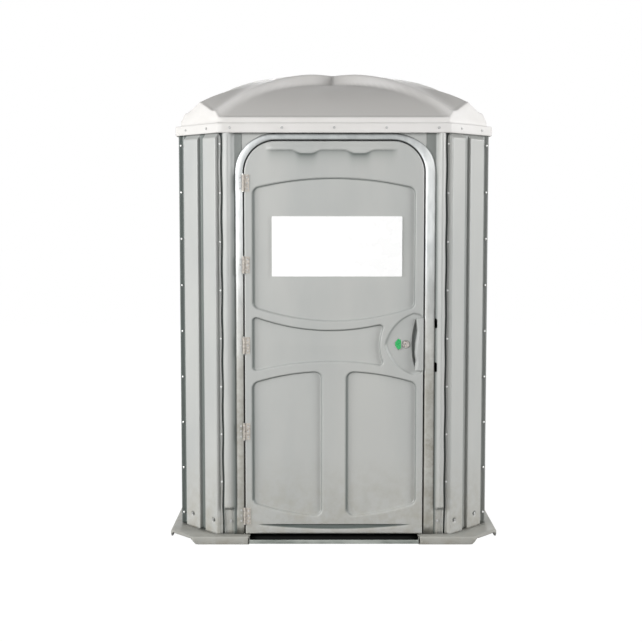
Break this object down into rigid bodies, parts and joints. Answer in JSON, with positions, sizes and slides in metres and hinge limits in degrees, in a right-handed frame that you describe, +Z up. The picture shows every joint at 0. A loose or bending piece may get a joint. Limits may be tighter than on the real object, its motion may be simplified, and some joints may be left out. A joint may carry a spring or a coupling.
{
  "type": "portable toilet cabin",
  "caption": "Wide step-free portable toilet cabin with cut corners, ribbed walls, hipped roof and one door.",
  "frame": {"origin": "centre of the footprint on the ground", "axes": "+X right when facing the door, -Y the door side, +Z up"},
  "size_m": [1.575, 1.575, 2.286],
  "materials": {
    "wall_plastic": "satin",
    "base_plastic": "satin",
    "roof_plastic": "matte",
    "frame_metal": "satin",
    "hinge_metal": "satin",
    "fastener_steel": "satin",
    "bright_steel": "polished",
    "seal_rubber": "matte",
    "sign_plastic": "gloss",
    "window_clear": "gloss",
    "flag_plastic": "gloss",
    "tank_plastic": "satin",
    "seat_plastic": "gloss",
    "vent_plastic": "matte",
    "paper": "matte"
  },
  "bodies": {
    "cabin": {"base_pan": "base_plastic", "threshold_strip": "frame_metal", "corner_panel_front_right": "wall_plastic", "corner_panel_front_left": "wall_plastic", "corner_panel_rear_right": "wall_plastic", "corner_panel_rear_left": "wall_plastic", "side_panel_right": "wall_plastic", "side_panel_left": "wall_plastic", "back_panel": "wall_plastic", "front_panel": "wall_plastic", "vent_louvre_right": "wall_plastic", "vent_louvre_left": "wall_plastic", "door_frame": "frame_metal", "door_seal": "seal_rubber", "strike_plate": "fastener_steel", "strike_screws": "fastener_steel", "hinge_leaves_frame": "hinge_metal", "hinge_pins": "fastener_steel", "hinge_screws_frame": "fastener_steel", "roof_shell": "roof_plastic", "roof_screws": "fastener_steel", "seam_rivets_front": "hinge_metal", "seam_rivets_side": "hinge_metal", "base_screws": "fastener_steel", "waste_tank": "tank_plastic", "tank_screws": "fastener_steel", "seat_posts": "seat_plastic", "seat_pins": "fastener_steel", "vent_pipe": "vent_plastic", "vent_collar": "seal_rubber", "vent_cap": "vent_plastic", "grab_bar_side": "bright_steel", "grab_bar_rear": "bright_steel", "grab_bar_screws": "fastener_steel", "paper_holder": "fastener_steel", "paper_spindle": "vent_plastic", "paper_holder_screws": "fastener_steel", "coat_hook": "bright_steel", "coat_hook_screws": "fastener_steel"},
    "door": {"door_outer_skin": "wall_plastic", "door_inner_skin": "wall_plastic", "handle_pod": "wall_plastic", "door_pull": "wall_plastic", "door_pull_screws": "fastener_steel", "sign_plate": "sign_plastic", "indicator_window": "window_clear", "hinge_leaves_door": "hinge_metal", "hinge_screws_door": "fastener_steel", "latch_plate": "fastener_steel", "latch_plate_screws": "fastener_steel", "inner_pull": "bright_steel", "inner_pull_screws": "fastener_steel"},
    "latch": {"latch_spindle": "fastener_steel", "coin_disc": "bright_steel", "indicator_flag": "flag_plastic", "latch_tongue": "fastener_steel", "latch_lever": "bright_steel"},
    "seat": {"toilet_seat": "seat_plastic"},
    "roll_near": {"paper_roll_near": "paper"},
    "roll_far": {"paper_roll_far": "paper"}
  },
  "joints": [
    {"name": "door_hinge", "type": "hinge", "parent": "cabin", "child": "door", "pos_m": [-0.424, -0.7505, 0.95], "axis": [0, 0, -1], "range_deg": [0, 110]},
    {"name": "latch_turn", "type": "hinge", "parent": "door", "child": "latch", "pos_m": [0.339, -0.7, 0.947], "axis": [0, 1, 0], "range_deg": [0, 90]},
    {"name": "seat_hinge", "type": "hinge", "parent": "cabin", "child": "seat", "pos_m": [0.276, 0.56, 0.445], "axis": [-1, 0, 0], "range_deg": [0, 95]},
    {"name": "roll_near_turn", "type": "hinge", "parent": "cabin", "child": "roll_near", "pos_m": [0.647, -0.051, 0.62], "axis": [0, 1, 0], "continuous": true},
    {"name": "roll_far_turn", "type": "hinge", "parent": "cabin", "child": "roll_far", "pos_m": [0.647, 0.051, 0.62], "axis": [0, 1, 0], "continuous": true}
  ]
}
